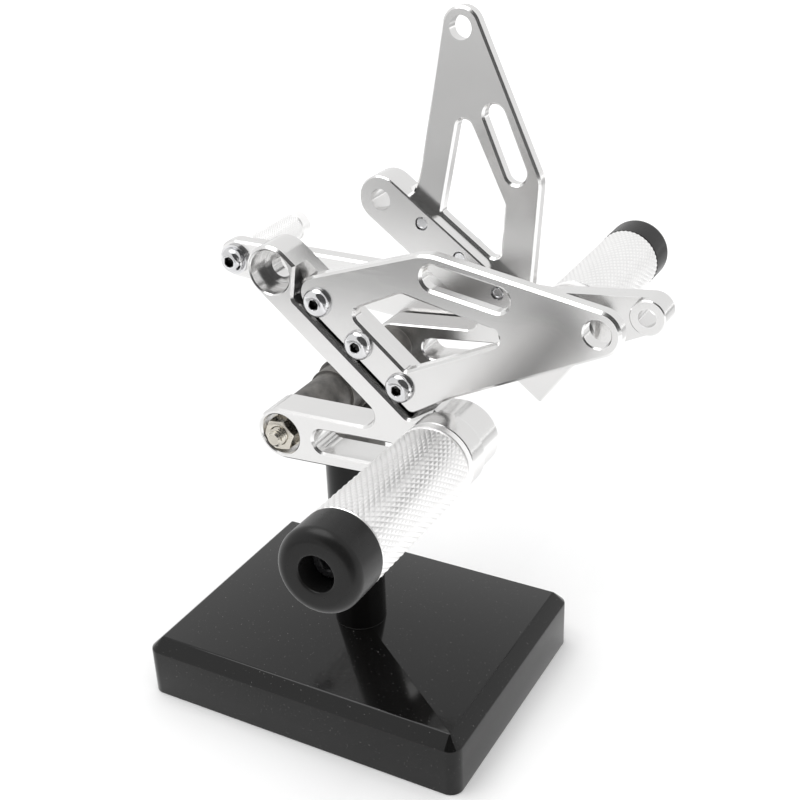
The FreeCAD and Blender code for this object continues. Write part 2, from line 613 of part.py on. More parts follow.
for side, word in ((LEFT, "left"), (RIGHT, "right")):
    hanger(word + "_hanger", side)
    adapter(word + "_adapter", side)
    away = FreeCAD.Rotation(V3(0, 0, 1), outward(side))
    spin = set_frame(side).Rotation.multiply(away)
    group = []
    for i in (-1, 0, 1):
        seat_at = in_set(side, *screw_at(i), plate_face)
        group.append(screw(f"{word}_adapter_screw_{i + 2}", seat_at, spin, "plate_head_dia",
                           "plate_head_tall", True, "plate_screw_dia",
                           plate_face - inner_face - 0.3, S["plate_socket"]))
        nodes.remove(group[-1])
    screws = doc.addObject("Part::Compound", word + "_adapter_screws")
    screws.Label = word + "_adapter_screws"
    screws.Links = group
    nodes.append(screws)
    start = S["spacer_long"] if side == LEFT else S["lever_wide"] + 2 * (S["thrust_thick"] + S["run_gap"])
    footpeg(word + "_footpeg", side, start)
    end_cap(word + "_end_cap", side, start)
    place, angle = peg_frame(side, start)
    axis = place.Rotation.multVec(V3(0, 0, 1))
    screw(word + "_cap_screw", place.Base + axis * (S["peg_reach"] - start + S["cap_web"]),
          place.Rotation, "cap_head_dia", "cap_head_tall", False, "cap_bolt_dia",
          S["cap_web"] + S["peg_bore_deep"] - 4, S["cap_bolt_dia"] * 0.83)
    grip = outer_face - inner_face - S["peg_bolt_sink"] + start
    screw(word + "_peg_bolt", in_set(side, *peg_at, inner_face + S["peg_bolt_sink"]),
          FreeCAD.Rotation(V3(0, 0, 1), -outward(side)), "peg_bolt_head", "peg_bolt_dia", False,
          "peg_bolt_dia", grip + S["peg_bore_deep"] - 5, S["peg_bolt_dia"] * 0.75)

# Left spacer collar, where the right side has the brake lever.
pivot_left = in_set(LEFT, *peg_at, outer_face)
spacer = new_body("left_spacer_collar", pivot_left, to_left)
ring, hole, long = S["peg_dia"] / 2, S["peg_bolt_dia"] / 2 + S["fit_gap"], S["spacer_long"]
turned(spacer, corners((hole, 0), (ring, 0), (ring, long - 0.6), (ring - 0.6, long), (hole, long)))

# Brake lever on its bush, between two thrust washers.
pivot = in_set(RIGHT, *peg_at, outer_face)
stack = S["lever_wide"] + 2 * (S["thrust_thick"] + S["run_gap"])
tube("lever_bush", pivot, to_right, "bush_dia", "peg_bolt_dia + 2 * fit_gap",
     "lever_wide + 2 * (thrust_thick + run_gap)")
tube("inner_thrust_washer", pivot, to_right, "peg_dia - 2", "bush_dia + 2 * fit_gap", "thrust_thick")
tube("outer_thrust_washer", pivot + V3(0, stack - S["thrust_thick"], 0), to_right,
     "peg_dia - 2", "bush_dia + 2 * fit_gap", "thrust_thick")
lever = new_body("brake_lever", pivot + V3(0, S["thrust_thick"] + S["run_gap"], 0))
toe = ("round", S["toe_x"], S["toe_z"], S["toe_boss_dia"] / 2)
hub = ("round", 0, 0, S["hub_dia"] / 2)
rod = ("round", S["rod_x"], S["rod_z"], S["rod_eye_dia"] / 2)
bar = outline(lever, "Pad", "bar", [toe, hub], "-lever_step", "lever_bar", RIGHT)
bar = dress(lever, "Chamfer", "bar_bevels", bar, lambda p: p.y < S["lever_step"] + 0.01
            or p.y > S["lever_step"] + S["lever_bar"] - 0.01, "edge_bevel")
outline(lever, "Pad", "arm", [hub, rod], "-arm_step", "lever_wide - arm_step", RIGHT)
disc(lever, "Pad", "hub_boss", (0, 0), "0", "lever_wide", "hub_dia", RIGHT)
eye = disc(lever, "Pad", "rod_boss", (S["rod_x"], S["rod_z"]), "0", "lever_wide", "rod_eye_dia", RIGHT)
eye = dress(lever, "Chamfer", "boss_bevels", eye, lambda p: p.y < 0.01, "bore_bevel", True)
dress(lever, "Chamfer", "arm_bevels", eye, lambda p: p.y > S["lever_wide"] - 0.01, "edge_bevel")
disc(lever, "Pocket", "pivot_bore", (0, 0), "0", "lever_wide", "bush_dia + 2 * run_gap")
disc(lever, "Pocket", "rod_bore", (S["rod_x"], S["rod_z"]), "0", "lever_wide", "rod_bore_dia")
disc(lever, "Pocket", "toe_bore", (S["toe_x"], S["toe_z"]), "0", "lever_wide",
     "toe_screw_dia + 2 * fit_gap")

# Toe peg, its screw and its washer, at the front of the lever.
toe_at = pivot + V3(S["toe_x"], S["thrust_thick"] + S["run_gap"] + S["lever_step"], S["toe_z"])
tube("toe_peg_washer", toe_at, to_left, "toe_washer_dia", "toe_screw_dia + 2 * fit_gap",
     "toe_washer_thick")
screw("toe_peg_screw", toe_at - V3(0, S["toe_washer_thick"], 0), to_left, "toe_head_dia",
      "toe_head_tall", True, "toe_screw_dia",
      S["toe_washer_thick"] + S["lever_bar"] + S["toe_screw_grip"], S["toe_socket"])
toe_peg = new_body("toe_peg", toe_at + V3(0, S["lever_bar"], 0), to_right)
radius, bore = S["toe_dia"] / 2, S["toe_screw_dia"] / 2 + S["fit_gap"]
long = S["toe_long"]
turned(toe_peg, corners(
    (bore, 0), (radius, 0, 0.4), (radius, 2.4), (radius - 0.5, 2.8), (radius, 3.2),
    (radius, long, 1.5), (0, long), (0, S["toe_bore_deep"]), (bore, S["toe_bore_deep"])))

doc.recompute()
failed = [f"{thing.Name} of {thing.InList[0].Label if thing.InList else 'the document'}"
          for thing in doc.Objects if {"Invalid", "Error"} & set(thing.State)]
if failed:
    raise SystemExit("not built: " + ", ".join(failed))
for node in nodes:
    if node.Shape.isNull() or not node.Shape.isValid():
        raise SystemExit(f"{node.Label} has no valid shape")
for node in nodes:
    node.Shape.exportStep(f"parts/{node.Label}.step")
    print(f"{node.Label:24s} {len(node.Shape.Solids)} {node.Shape.Volume:10.1f}")
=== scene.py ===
import json
import math

import bmesh
import bpy
from bpy.props import FloatProperty, FloatVectorProperty, PointerProperty
from mathutils import Matrix, Vector


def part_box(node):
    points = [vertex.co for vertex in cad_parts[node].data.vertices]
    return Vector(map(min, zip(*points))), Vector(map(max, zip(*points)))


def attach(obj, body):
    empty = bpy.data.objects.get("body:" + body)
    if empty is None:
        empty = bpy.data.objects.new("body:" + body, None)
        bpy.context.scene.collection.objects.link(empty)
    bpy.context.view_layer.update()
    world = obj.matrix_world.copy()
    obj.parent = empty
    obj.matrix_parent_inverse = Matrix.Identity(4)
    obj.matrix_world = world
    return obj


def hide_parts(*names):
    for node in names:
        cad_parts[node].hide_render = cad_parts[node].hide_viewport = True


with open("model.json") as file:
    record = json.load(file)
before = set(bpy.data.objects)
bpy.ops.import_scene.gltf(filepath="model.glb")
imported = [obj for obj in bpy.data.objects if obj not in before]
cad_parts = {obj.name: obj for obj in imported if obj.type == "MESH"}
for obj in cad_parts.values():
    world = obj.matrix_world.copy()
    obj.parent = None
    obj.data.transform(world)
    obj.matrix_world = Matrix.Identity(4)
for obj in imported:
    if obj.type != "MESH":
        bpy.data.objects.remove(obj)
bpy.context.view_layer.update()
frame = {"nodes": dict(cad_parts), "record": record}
SLOTS = {part["node"]: part["material_slot"] for part in frame["record"]["subparts"]}
MM = 0.001
LEFT, RIGHT = -1, 1  # the side of a set along Y

bl_info = {
    "name": "Footrest kit",
    "version": (1, 0, 0),
    "blender": (4, 5, 0),
    "location": "View3D > Sidebar > Footrests",
    "description": "Builds and finishes the footrest kit on its display stand",
    "category": "Object",
}


def length(name, description, default):
    return FloatProperty(
        name=name, description=description, default=default * MM,
        unit="LENGTH", subtype="DISTANCE", precision=5,
    )


def colour(name, description, default):
    return FloatVectorProperty(
        name=name, description=description, default=(*default, 1.0),
        subtype="COLOR", size=4, min=0.0, max=1.0,
    )


class FootrestSizes(bpy.types.PropertyGroup):
    """Sizes of the scene's own pieces, given in millimetres and kept in metres."""

    knurl_step: length("Knurl step", "Half a diamond of the peg knurl, round it", 0.93)
    knurl_long: length("Knurl length", "Half a diamond of the peg knurl, along it", 1.55)
    knurl_deep: length("Knurl depth", "Depth of the peg knurl", 0.24)
    toe_knurl_step: length("Toe knurl step", "Half a diamond of the toe peg knurl", 0.68)
    peg_radius: length("Peg radius", "Outer radius of a footpeg", 12.5)
    peg_reach: length("Peg reach", "Hanger face to end cap", 67.5)
    left_peg_start: length("Left peg start", "Hanger face to the left peg", 8.0)
    right_peg_start: length("Right peg start", "Hanger face to the right peg", 12.5)
    cap_long: length("Cap length", "End cap along the peg", 14.0)
    cap_round: length("Cap rounding", "Rounding of the end cap's rim", 3.5)
    plate_head_radius: length("Plate screw head radius", "Button heads on the adapters", 4.75)
    plate_head_tall: length("Plate screw head height", "Button heads on the adapters", 2.75)
    toe_head_radius: length("Toe screw head radius", "Button head on the lever", 5.25)
    toe_head_tall: length("Toe screw head height", "Button head on the lever", 3.3)
    thread_pitch: length("Thread pitch", "Pitch of the cross bolt", 1.0)
    base_round: length("Base edge rounding", "Softened edges of the base", 0.45)


class FootrestColours(bpy.types.PropertyGroup):
    """Base colours of the finishes."""

    satin: colour("Satin aluminium", "Anodised plates and lever", (0.73, 0.725, 0.72))
    knurl: colour("Knurled aluminium", "Pegs", (0.96, 0.955, 0.95))
    plastic: colour("Cap plastic", "End caps", (0.009, 0.0088, 0.0087))
    steel: colour("Polished steel", "Screws", (0.66, 0.66, 0.67))
    nickel: colour("Nickel plating", "Nut and cross bolt", (0.58, 0.55, 0.49))
    bronze: colour("Bronze", "Lever bush", (0.52, 0.36, 0.17))
    oxide: colour("Black oxide", "Cap screws", (0.020, 0.020, 0.021))
    gloss: colour("Gloss black", "Base and post", (0.0045, 0.0044, 0.0043))
    rubber: colour("Dull black", "Clamp head", (0.075, 0.071, 0.066))
    floor: colour("Floor", "Floor of the stage", (0.93, 0.93, 0.93))


# ---- materials -------------------------------------------------------------

MIX_COLOUR_1, MIX_COLOUR_2, MIX_RESULT = 6, 7, 2  # the Mix node's colour sockets
NOISE_LOW, NOISE_HIGH = 0.3, 0.7  # the range in which a noise texture mostly lies
# painted shade: the dark colour that hollows such as knurl grooves and screw sockets take on
GROOVE_SHADE = (0.02, 0.0195, 0.019, 1.0)


class Finish:
    """A principled material whose detail is put together from textures in Object space."""

    def __init__(self, name, base, metal, rough):
        self.material = bpy.data.materials.new("kit_" + name)
        self.material.use_nodes = True
        self.nodes = self.material.node_tree.nodes
        self.links = self.material.node_tree.links
        self.shader = self.nodes["Principled BSDF"]
        self.shader.inputs["Metallic"].default_value = metal
        self.base, self.rough = base, rough
        self.place = self.nodes.new("ShaderNodeTexCoord").outputs["Object"]
        self.heights = []

    def noise(self, scale, detail=3.0, stretch=(1, 1, 1), turn=(0, 0, 0)):
        """A noise texture, stretched for drawn or turned marks."""
        mapping = self.nodes.new("ShaderNodeMapping")
        mapping.inputs["Scale"].default_value = stretch
        mapping.inputs["Rotation"].default_value = turn
        self.links.new(self.place, mapping.inputs["Vector"])
        node = self.nodes.new("ShaderNodeTexNoise")
        node.inputs["Scale"].default_value = scale
        node.inputs["Detail"].default_value = detail
        node.inputs["Roughness"].default_value = 0.6
        self.links.new(mapping.outputs["Vector"], node.inputs["Vector"])
        return node.outputs["Fac"]

    def ranged(self, value, low, high, to_low, to_high):
        """The value moved from one range to another and held inside it."""
        node = self.nodes.new("ShaderNodeMapRange")
        node.inputs["From Min"].default_value = low
        node.inputs["From Max"].default_value = high
        node.inputs["To Min"].default_value = to_low
        node.inputs["To Max"].default_value = to_high
        self.links.new(value, node.inputs["Value"])
        return node.outputs["Result"]

    def mixed(self, factor, one, two):
        """A mix of two colours, each a constant or a socket."""
        node = self.nodes.new("ShaderNodeMix")
        node.data_type = "RGBA"
        self.links.new(factor, node.inputs["Factor"])
        for index, value in ((MIX_COLOUR_1, one), (MIX_COLOUR_2, two)):
            if isinstance(value, bpy.types.NodeSocket):
                self.links.new(value, node.inputs[index])
            else:
                node.inputs[index].default_value = value
        return node.outputs[MIX_RESULT]

    def sums(self, one, two, kind="ADD"):
        """Two sockets put together by a Math node."""
        node = self.nodes.new("ShaderNodeMath")
        node.operation = kind
        self.links.new(one, node.inputs[0])
        self.links.new(two, node.inputs[1])
        return node.outputs[0]

    def edge(self, radius, low=0.0, high=0.14):
        """0 on flats and 1 on worn edges: how far the rounded normal leaves the plain one."""
        bevel = self.nodes.new("ShaderNodeBevel")
        bevel.samples = 6
        bevel.inputs["Radius"].default_value = radius * MM
        flat = self.nodes.new("ShaderNodeNewGeometry")
        dot = self.nodes.new("ShaderNodeVectorMath")
        dot.operation = "DOT_PRODUCT"
        self.links.new(bevel.outputs["Normal"], dot.inputs[0])
        self.links.new(flat.outputs["Normal"], dot.inputs[1])
        return self.ranged(dot.outputs["Value"], 1.0 - low, 1.0 - high, 0.0, 1.0)

    def height(self, value, strength, distance):
        """Adds a bump, its distance in millimetres."""
        self.heights.append((value, strength, distance))

    def done(self, tone, spread, rough_by, rough_spread,
             worn=None, worn_tone=None, worn_rough=None):
        """Links colour, roughness, wear, painted groove shade and bumps to the shader, and returns
        the material.
        """
        low = [max(0.0, c * (1 - spread)) for c in self.base[:3]] + [1.0]
        high = [min(1.0, c * (1 + spread)) for c in self.base[:3]] + [1.0]
        base = self.mixed(self.ranged(tone, NOISE_LOW, NOISE_HIGH, 0.0, 1.0), low, high)
        rough = self.ranged(rough_by, NOISE_LOW, NOISE_HIGH,
                            self.rough - rough_spread, self.rough + rough_spread)
        if worn is not None:
            base = self.mixed(worn, base, worn_tone)
            share = self.ranged(worn, 0.0, 1.0, 1.0, worn_rough / self.rough)
            rough = self.sums(rough, share, "MULTIPLY")
        # painted shade: the groove attribute mixes a dark colour into knurl grooves and screw
        # sockets
        groove = self.nodes.new("ShaderNodeAttribute")
        groove.attribute_name = "groove"
        base = self.mixed(groove.outputs["Fac"], base, GROOVE_SHADE)
        self.links.new(base, self.shader.inputs["Base Color"])
        self.links.new(rough, self.shader.inputs["Roughness"])
        normal = None
        for value, strength, distance in self.heights:
            bump = self.nodes.new("ShaderNodeBump")
            bump.inputs["Strength"].default_value = strength
            bump.inputs["Distance"].default_value = distance * MM
            self.links.new(value, bump.inputs["Height"])
            if normal is not None:
                self.links.new(normal, bump.inputs["Normal"])
            normal = bump.outputs["Normal"]
        if normal is not None:
            self.links.new(normal, self.shader.inputs["Normal"])
        return self.material


# Each finish below gives its own noise scales, bump sizes in millimetres, edge wear, and how much
# its tone and roughness vary.

def satin_aluminium(base):
    made = Finish("satin_aluminium", base, 1.0, 0.24)
    grain = made.noise(2600.0, 2.0)
    drawn = made.noise(900.0, 2.0, (0.06, 1.0, 1.0), (0.0, 0.7, 0.0))
    cloud = made.noise(28.0, 3.0)
    made.height(grain, 0.25, 0.010)
    made.height(drawn, 0.10, 0.010)
    worn = made.edge(0.5)
    return made.done(cloud, 0.025, made.sums(cloud, drawn, "MULTIPLY"), 0.04,
                     worn, (0.82, 0.82, 0.82, 1.0), 0.16)


def knurled_aluminium(base):
    made = Finish("knurled_aluminium", base, 1.0, 0.42)
    grain = made.noise(3200.0, 2.0)
    cloud = made.noise(60.0, 3.0)
    made.height(grain, 0.2, 0.008)
    worn = made.edge(0.25)
    return made.done(cloud, 0.03, grain, 0.05, worn, (0.98, 0.98, 0.98, 1.0), 0.26)


def black_plastic(base):
    made = Finish("black_plastic", base, 0.0, 0.32)
    grain = made.noise(2400.0, 2.0)
    cloud = made.noise(90.0, 4.0)
    made.shader.inputs["Specular IOR Level"].default_value = 0.25
    made.height(grain, 0.35, 0.02)
    worn = made.edge(0.6)
    return made.done(cloud, 0.18, grain, 0.05, worn, (0.018, 0.0177, 0.0175, 1.0), 0.30)


def stainless_steel(base):
    made = Finish("stainless_steel", base, 1.0, 0.13)
    scratch = made.noise(1800.0, 3.0, (1.0, 0.15, 1.0))
    cloud = made.noise(220.0, 2.0)
    made.height(scratch, 0.08, 0.006)
    worn = made.edge(0.2)
    return made.done(cloud, 0.05, scratch, 0.04, worn, (0.86, 0.86, 0.87, 1.0), 0.10)


def plated_steel(base):
    made = Finish("plated_steel", base, 1.0, 0.24)
    pits = made.noise(1500.0, 3.0)
    cloud = made.noise(160.0, 3.0)
    made.height(pits, 0.15, 0.01)
    worn = made.edge(0.25)
    return made.done(cloud, 0.12, pits, 0.07, worn, (0.80, 0.77, 0.70, 1.0), 0.17)


def bronze(base):
    made = Finish("bronze", base, 1.0, 0.30)
    turned = made.noise(1400.0, 2.0, (1.0, 0.1, 1.0))
    cloud = made.noise(120.0, 3.0)
    made.height(turned, 0.15, 0.01)
    worn = made.edge(0.25)
    return made.done(cloud, 0.10, turned, 0.06, worn, (0.72, 0.55, 0.32, 1.0), 0.20)


def black_steel(base):
    made = Finish("black_steel", base, 0.0, 0.28)
    oiled = made.noise(900.0, 3.0)
    cloud = made.noise(180.0, 3.0)
    made.height(oiled, 0.12, 0.01)
    worn = made.edge(0.25)
    return made.done(cloud, 0.3, oiled, 0.07, worn, (0.10, 0.10, 0.102, 1.0), 0.22)


def gloss_black(base):
    made = Finish("gloss_black", base, 0.0, 0.075)
    made.shader.inputs["Specular IOR Level"].default_value = 0.33
    orange = made.noise(160.0, 2.0)
    haze = made.noise(14.0, 4.0)
    dust = made.noise(1300.0, 1.0)
    made.height(orange, 0.04, 0.02)
    worn = made.edge(0.35, 0.02, 0.2)
    specks = made.ranged(dust, 0.735, 0.78, 0.0, 0.45)
    either = made.sums(worn, specks, "MAXIMUM")
    return made.done(haze, 0.25, haze, 0.03, either, (0.22, 0.215, 0.21, 1.0), 0.16)


def post_black(base):
    made = Finish("post_black", base, 0.0, 0.16)
    made.shader.inputs["Specular IOR Level"].default_value = 0.22
    drawn = made.noise(700.0, 2.0, (1.0, 1.0, 0.04))
    haze = made.noise(30.0, 3.0)
    made.height(drawn, 0.10, 0.012)
    worn = made.edge(0.35, 0.02, 0.2)
    return made.done(haze, 0.3, haze, 0.04, worn, (0.12, 0.118, 0.115, 1.0), 0.16)


def dull_black(base):
    made = Finish("dull_black", base, 0.0, 0.50)
    grain = made.noise(700.0, 4.0)
    cloud = made.noise(130.0, 3.0)
    made.height(grain, 0.5, 0.06)
    worn = made.edge(0.6)
    return made.done(cloud, 0.75, grain, 0.10, worn, (0.20, 0.19, 0.175, 1.0), 0.36)


# slot of the record: the function that makes its finish, and its colour property
FINISHES = {
    "satin_aluminium": (satin_aluminium, "satin"),
    "knurled_aluminium": (knurled_aluminium, "knurl"),
    "black_plastic": (black_plastic, "plastic"),
    "stainless_steel": (stainless_steel, "steel"),
    "plated_steel": (plated_steel, "nickel"),
    "bronze": (bronze, "bronze"),
    "black_steel": (black_steel, "oxide"),
    "gloss_black": (gloss_black, "gloss"),
    "dark_rubber": (dull_black, "rubber"),
    "post": (post_black, "gloss"),
}


def finish_of(slot):
    """The material of a slot, made at its first use."""
    make, key = FINISHES[slot]
    found = bpy.data.materials.get("kit_" + make.__name__)
    return found or make(getattr(bpy.context.scene.footrest_colours, key))


# ---- mesh helpers: everything is drawn in millimetres on its own Z axis ----

NEAR = 1e-3  # how near a vertex lies to a ring or plane that it belongs to
KNURL_SHADE, SOCKET_SHADE = 0.16, 0.97  # how much painted shade darkens a knurl groove and a screw socket
SHARP_ANGLE = 32.0  # edges sharper than this stay sharp, in degrees
KNURL_SHARP_ANGLE = 22.0
BASE_SHARP_ANGLE = 30.0


def frame_at(base, axis, across=Vector((1, 0, 0))):
    """The place of a turned piece: its origin and the direction of its Z axis."""
    z = Vector(axis).normalized()
    x = (Vector(across) - z * z.dot(Vector(across))).normalized()
    y = z.cross(x)
    place = Matrix((x, y, z)).transposed().to_4x4()
    place.translation = Vector(base)
    return place


def arc(middle, radius, start, end, count=8):
    """Points of a rounding in a turned profile, angles in degrees."""
    angles = [math.radians(start + (end - start) * i / count) for i in range(count + 1)]
    return [(middle[0] + radius * math.cos(a), middle[1] + radius * math.sin(a)) for a in angles]


def lathe(profile, steps):
    """A bmesh turned from (radius, height) points about Z."""
    bm = bmesh.new()
    verts = [bm.verts.new((r, 0.0, z)) for r, z in profile]
    lines = [bm.edges.new(pair) for pair in zip(verts, verts[1:])]
    bmesh.ops.spin(
        bm, geom=verts + lines, cent=(0, 0, 0), axis=(0, 0, 1), dvec=(0, 0, 0),
        angle=2 * math.pi, space=Matrix.Identity(4), steps=steps,
        use_merge=True, use_normal_flip=False, use_duplicate=False,
    )
    bmesh.ops.remove_doubles(bm, verts=bm.verts, dist=1e-4)
    bmesh.ops.recalc_face_normals(bm, faces=bm.faces)
    return bm


def darken_hollow(bm, radius, low, amount):
    """Marks a hollow round the axis for the finishes, which mix in painted shade by this attribute.
    """
    layer = bm.verts.layers.float.new("groove")
    for v in bm.verts:
        if v.co.z > low and math.hypot(v.co.x, v.co.y) < radius:
            v[layer] = amount


def ring_of(bm, radius, height):
    """The vertices of a turned ring."""
    return [v for v in bm.verts
            if abs(v.co.z - height) < NEAR
            and abs(math.hypot(v.co.x, v.co.y) - radius) < NEAR]


def to_hexagon(verts, flats, slope=0.0):
    """Push a ring out to a hexagon; slope lowers its corners, as a chamfer does."""
    for v in verts:
        angle = math.degrees(math.atan2(v.co.y, v.co.x)) % 60.0 - 30.0
        reach = flats / 2 / math.cos(math.radians(angle))
        before = math.hypot(v.co.x, v.co.y)
        v.co.x, v.co.y = v.co.x * reach / before, v.co.y * reach / before
        v.co.z -= slope * (reach - flats / 2)


def knurl(bm, low, rows, step, depth, radius):
    """Diamond knurl: every other grid point sinks, and faces split along the grooves."""
    groove = bm.verts.layers.float.new("groove")
    count = len(ring_of(bm, radius, low))
    sunk = []
    for v in bm.verts:
        row = (v.co.z - low) / step
        off = abs(math.hypot(v.co.x, v.co.y) - radius)
        if off > NEAR or not -0.01 < row < rows + 0.01:
            continue
        column = round(math.atan2(v.co.y, v.co.x) / (2 * math.pi) * count)
        if (column + round(row)) % 2:
            sunk.append(v)
    for v in sunk:
        v.co.xy = v.co.xy * ((radius - depth) / radius)
        # painted shade in the knurl's grooves: each sunk point takes a darker tone
        v[groove] = KNURL_SHADE
    bmesh.ops.connect_verts(bm, verts=sunk)


def helix(bm, core, crest, pitch, low, turns, steps=32):
    """A closed helical ridge wound round the shank."""
    half, top, root = pitch * 0.42, 0.06, core - 0.1
    corners = [bm.verts.new(p) for p in (
        (root, 0, low - half), (crest, 0, low - top), (crest, 0, low + top), (root, 0, low + half))]
    face = bm.faces.new(corners)
    bmesh.ops.spin(
        bm, geom=[face, *face.edges, *corners], cent=(0, 0, 0), axis=(0, 0, 1),
        dvec=(0, 0, pitch / steps), angle=2 * math.pi * turns, space=Matrix.Identity(4),
        steps=round(steps * turns), use_merge=False, use_normal_flip=False, use_duplicate=False,
    )
    bmesh.ops.recalc_face_normals(bm, faces=bm.faces)


def add(bm, other, place):
    """Put a copy of another bmesh into this one, at its place."""
    kept = bpy.data.meshes.new("part")
    other.transform(place)
    other.to_mesh(kept)
    other.free()
    bm.from_mesh(kept)
    bpy.data.meshes.remove(kept)


def object_of(name, bm):
    """A linked object with the bmesh as its mesh."""
    mesh = bpy.data.meshes.new(name)
    bm.to_mesh(mesh)
    bm.free()
    made = bpy.data.objects.new(name, mesh)
    bpy.context.scene.collection.objects.link(made)
    return made


def piece(name, bm, place, slot, body, nodes, smooth=SHARP_ANGLE):
    bm.transform(Matrix.Scale(MM, 4) @ place)
    bmesh.ops.recalc_face_normals(bm, faces=bm.faces)
    made = object_of(name, bm)
    made.data.shade_smooth()
    made.data.set_sharp_from_angle(angle=math.radians(smooth))
    made.data.materials.append(finish_of(slot))
    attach(made, body)
    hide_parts(*nodes)


# ---- places of the two sets, in millimetres -------------------------------

STUD = Vector((0.8, 0.0, 126.9))  # middle of the cross bolt
SET_TURN = {LEFT: 0.0, RIGHT: -3.87}  # turn of each set about the cross bolt, in degrees
BEAM_X, BEAM_Z = 30.53, 36.79  # the beam's middle screw, from the cross bolt
BEAM_ANGLE = 40.25  # fall of the beam to the rear, in degrees
FACE, PLATE_FACE = 45.0, 43.0  # outer faces of hangers and adapters, from the middle
PEG_U, PEG_V = 42.2, -0.96  # footpeg bolt along and across the beam
PEG_TILT_X, PEG_TILT_Z = 0.040, 0.064  # lean of the pegs per unit outwards
SCREW_PITCH, SCREW_V = 18.4, 0.6  # adapter screws along and across the beam
EYE_DEEP, WASHER = 5.0, 1.0  # counterbores of the rear eyes, and the washers in them
NUT_FLATS, NUT_TALL, NUT_BORE = 10.0, 5.2, 3.02
BOLT_HEAD, BOLT_TAIL = 4.0, 3.3  # the cross bolt's head, and what stands out of the nut
TOE = Vector((-141.7, 1.6, 5.4))  # the lever's toe, inner face, from its pivot at the hanger's face
LEVER_BAR, TOE_WASHER = 7.0, 1.6  # thickness of the lever's bar and of the toe screw's washer


def set_point(side, u, v, out):
    """A point of a set, from places along and across its beam."""
    lean = math.radians(BEAM_ANGLE)
    x = BEAM_X + u * math.cos(lean) + v * math.sin(lean)
    z = BEAM_Z - u * math.sin(lean) + v * math.cos(lean)
    turned = Matrix.Rotation(math.radians(SET_TURN[side]), 3, "Y") @ Vector((x, 0, z))
    return STUD + turned + Vector((0, side * out, 0))


def peg_place(side, start):
    """Base point of a footpeg and its axis, which leans up and to the rear."""
    axis = Vector((PEG_TILT_X, side, PEG_TILT_Z)).normalized()
    return set_point(side, PEG_U, PEG_V, FACE + start), axis


# ---- shapes, in millimetres -----------------------------------------------

M5_RADIUS, M6_RADIUS = 2.48, 2.98  # shanks, a little under the thread's size
PEG_SCREW_BORE, PEG_BOLT_BORE = 3.05, 4.05  # radii of the holes in pegs and caps
PEG_BORE_DEEP, TOE_BORE_DEEP = 24.0, 20
PEG_NECK, TOE_NECK = 4.3, 3.2  # smooth bands before the knurls
PEG_END_BEVEL = 0.4
CAP_MOUTH, CAP_LIP, CAP_WEB = 5.2, 0.7, 3.2
HEXAGON_SLOPE = math.tan(math.radians(30))  # chamfer of a nut's corners


def button_screw(long, flats, radius, tall, thread):
    """Button-headed screw with a hexagon socket; Z = 0 is under its head."""
    rim, soft, dome_steps = 0.45, 0.2, 14
    wall, lip = flats / 2, flats / 2 + 0.35
    flat = lip + 0.15
    socket_top, socket_low = tall - 0.2, tall * 0.36
    dome = [(flat + (radius - flat) * math.cos(a), rim + (tall - rim) * math.sin(a))
            for a in (math.radians(90 * i / dome_steps) for i in range(dome_steps + 1))]
    shank = [(0, -long + 0.25), (thread - 1.0, -long + 0.25), (thread - 0.9, -long),
             (thread - 0.6, -long), (thread, -long + 0.6), (thread, 0)]
    top = [(lip, tall), (wall, socket_top), (wall, socket_low), (0, tall * 0.2)]
    bm = lathe([*shank, (radius - soft, 0), (radius, soft), *dome, *top], 64)
    # painted shade in the hex socket, nearly black
    darken_hollow(bm, wall + 0.05, 0.05, SOCKET_SHADE)
    to_hexagon(ring_of(bm, wall, socket_top), flats)
    to_hexagon(ring_of(bm, wall, socket_low), flats)
    return bm


def socket_screw(long, flats, radius, tall, thread):
    """Cap screw with a straight rim; Z = 0 is under its head."""
    wall, rim, soft, tip = flats / 2, 0.6, 0.15, 0.5
    socket_top, socket_low = tall - 0.3, tall * 0.4
    bm = lathe([(0, -long), (thread - tip, -long), (thread, -long + tip), (thread, 0),
                (radius - soft, 0), (radius, soft),
                *arc((radius - rim, tall - rim), rim, 0, 90, 5),
                (wall + 0.45, tall), (wall, socket_top), (wall, socket_low), (0, tall * 0.25)], 48)
    to_hexagon(ring_of(bm, wall, socket_top), flats)
    to_hexagon(ring_of(bm, wall, socket_low), flats)
    return bm


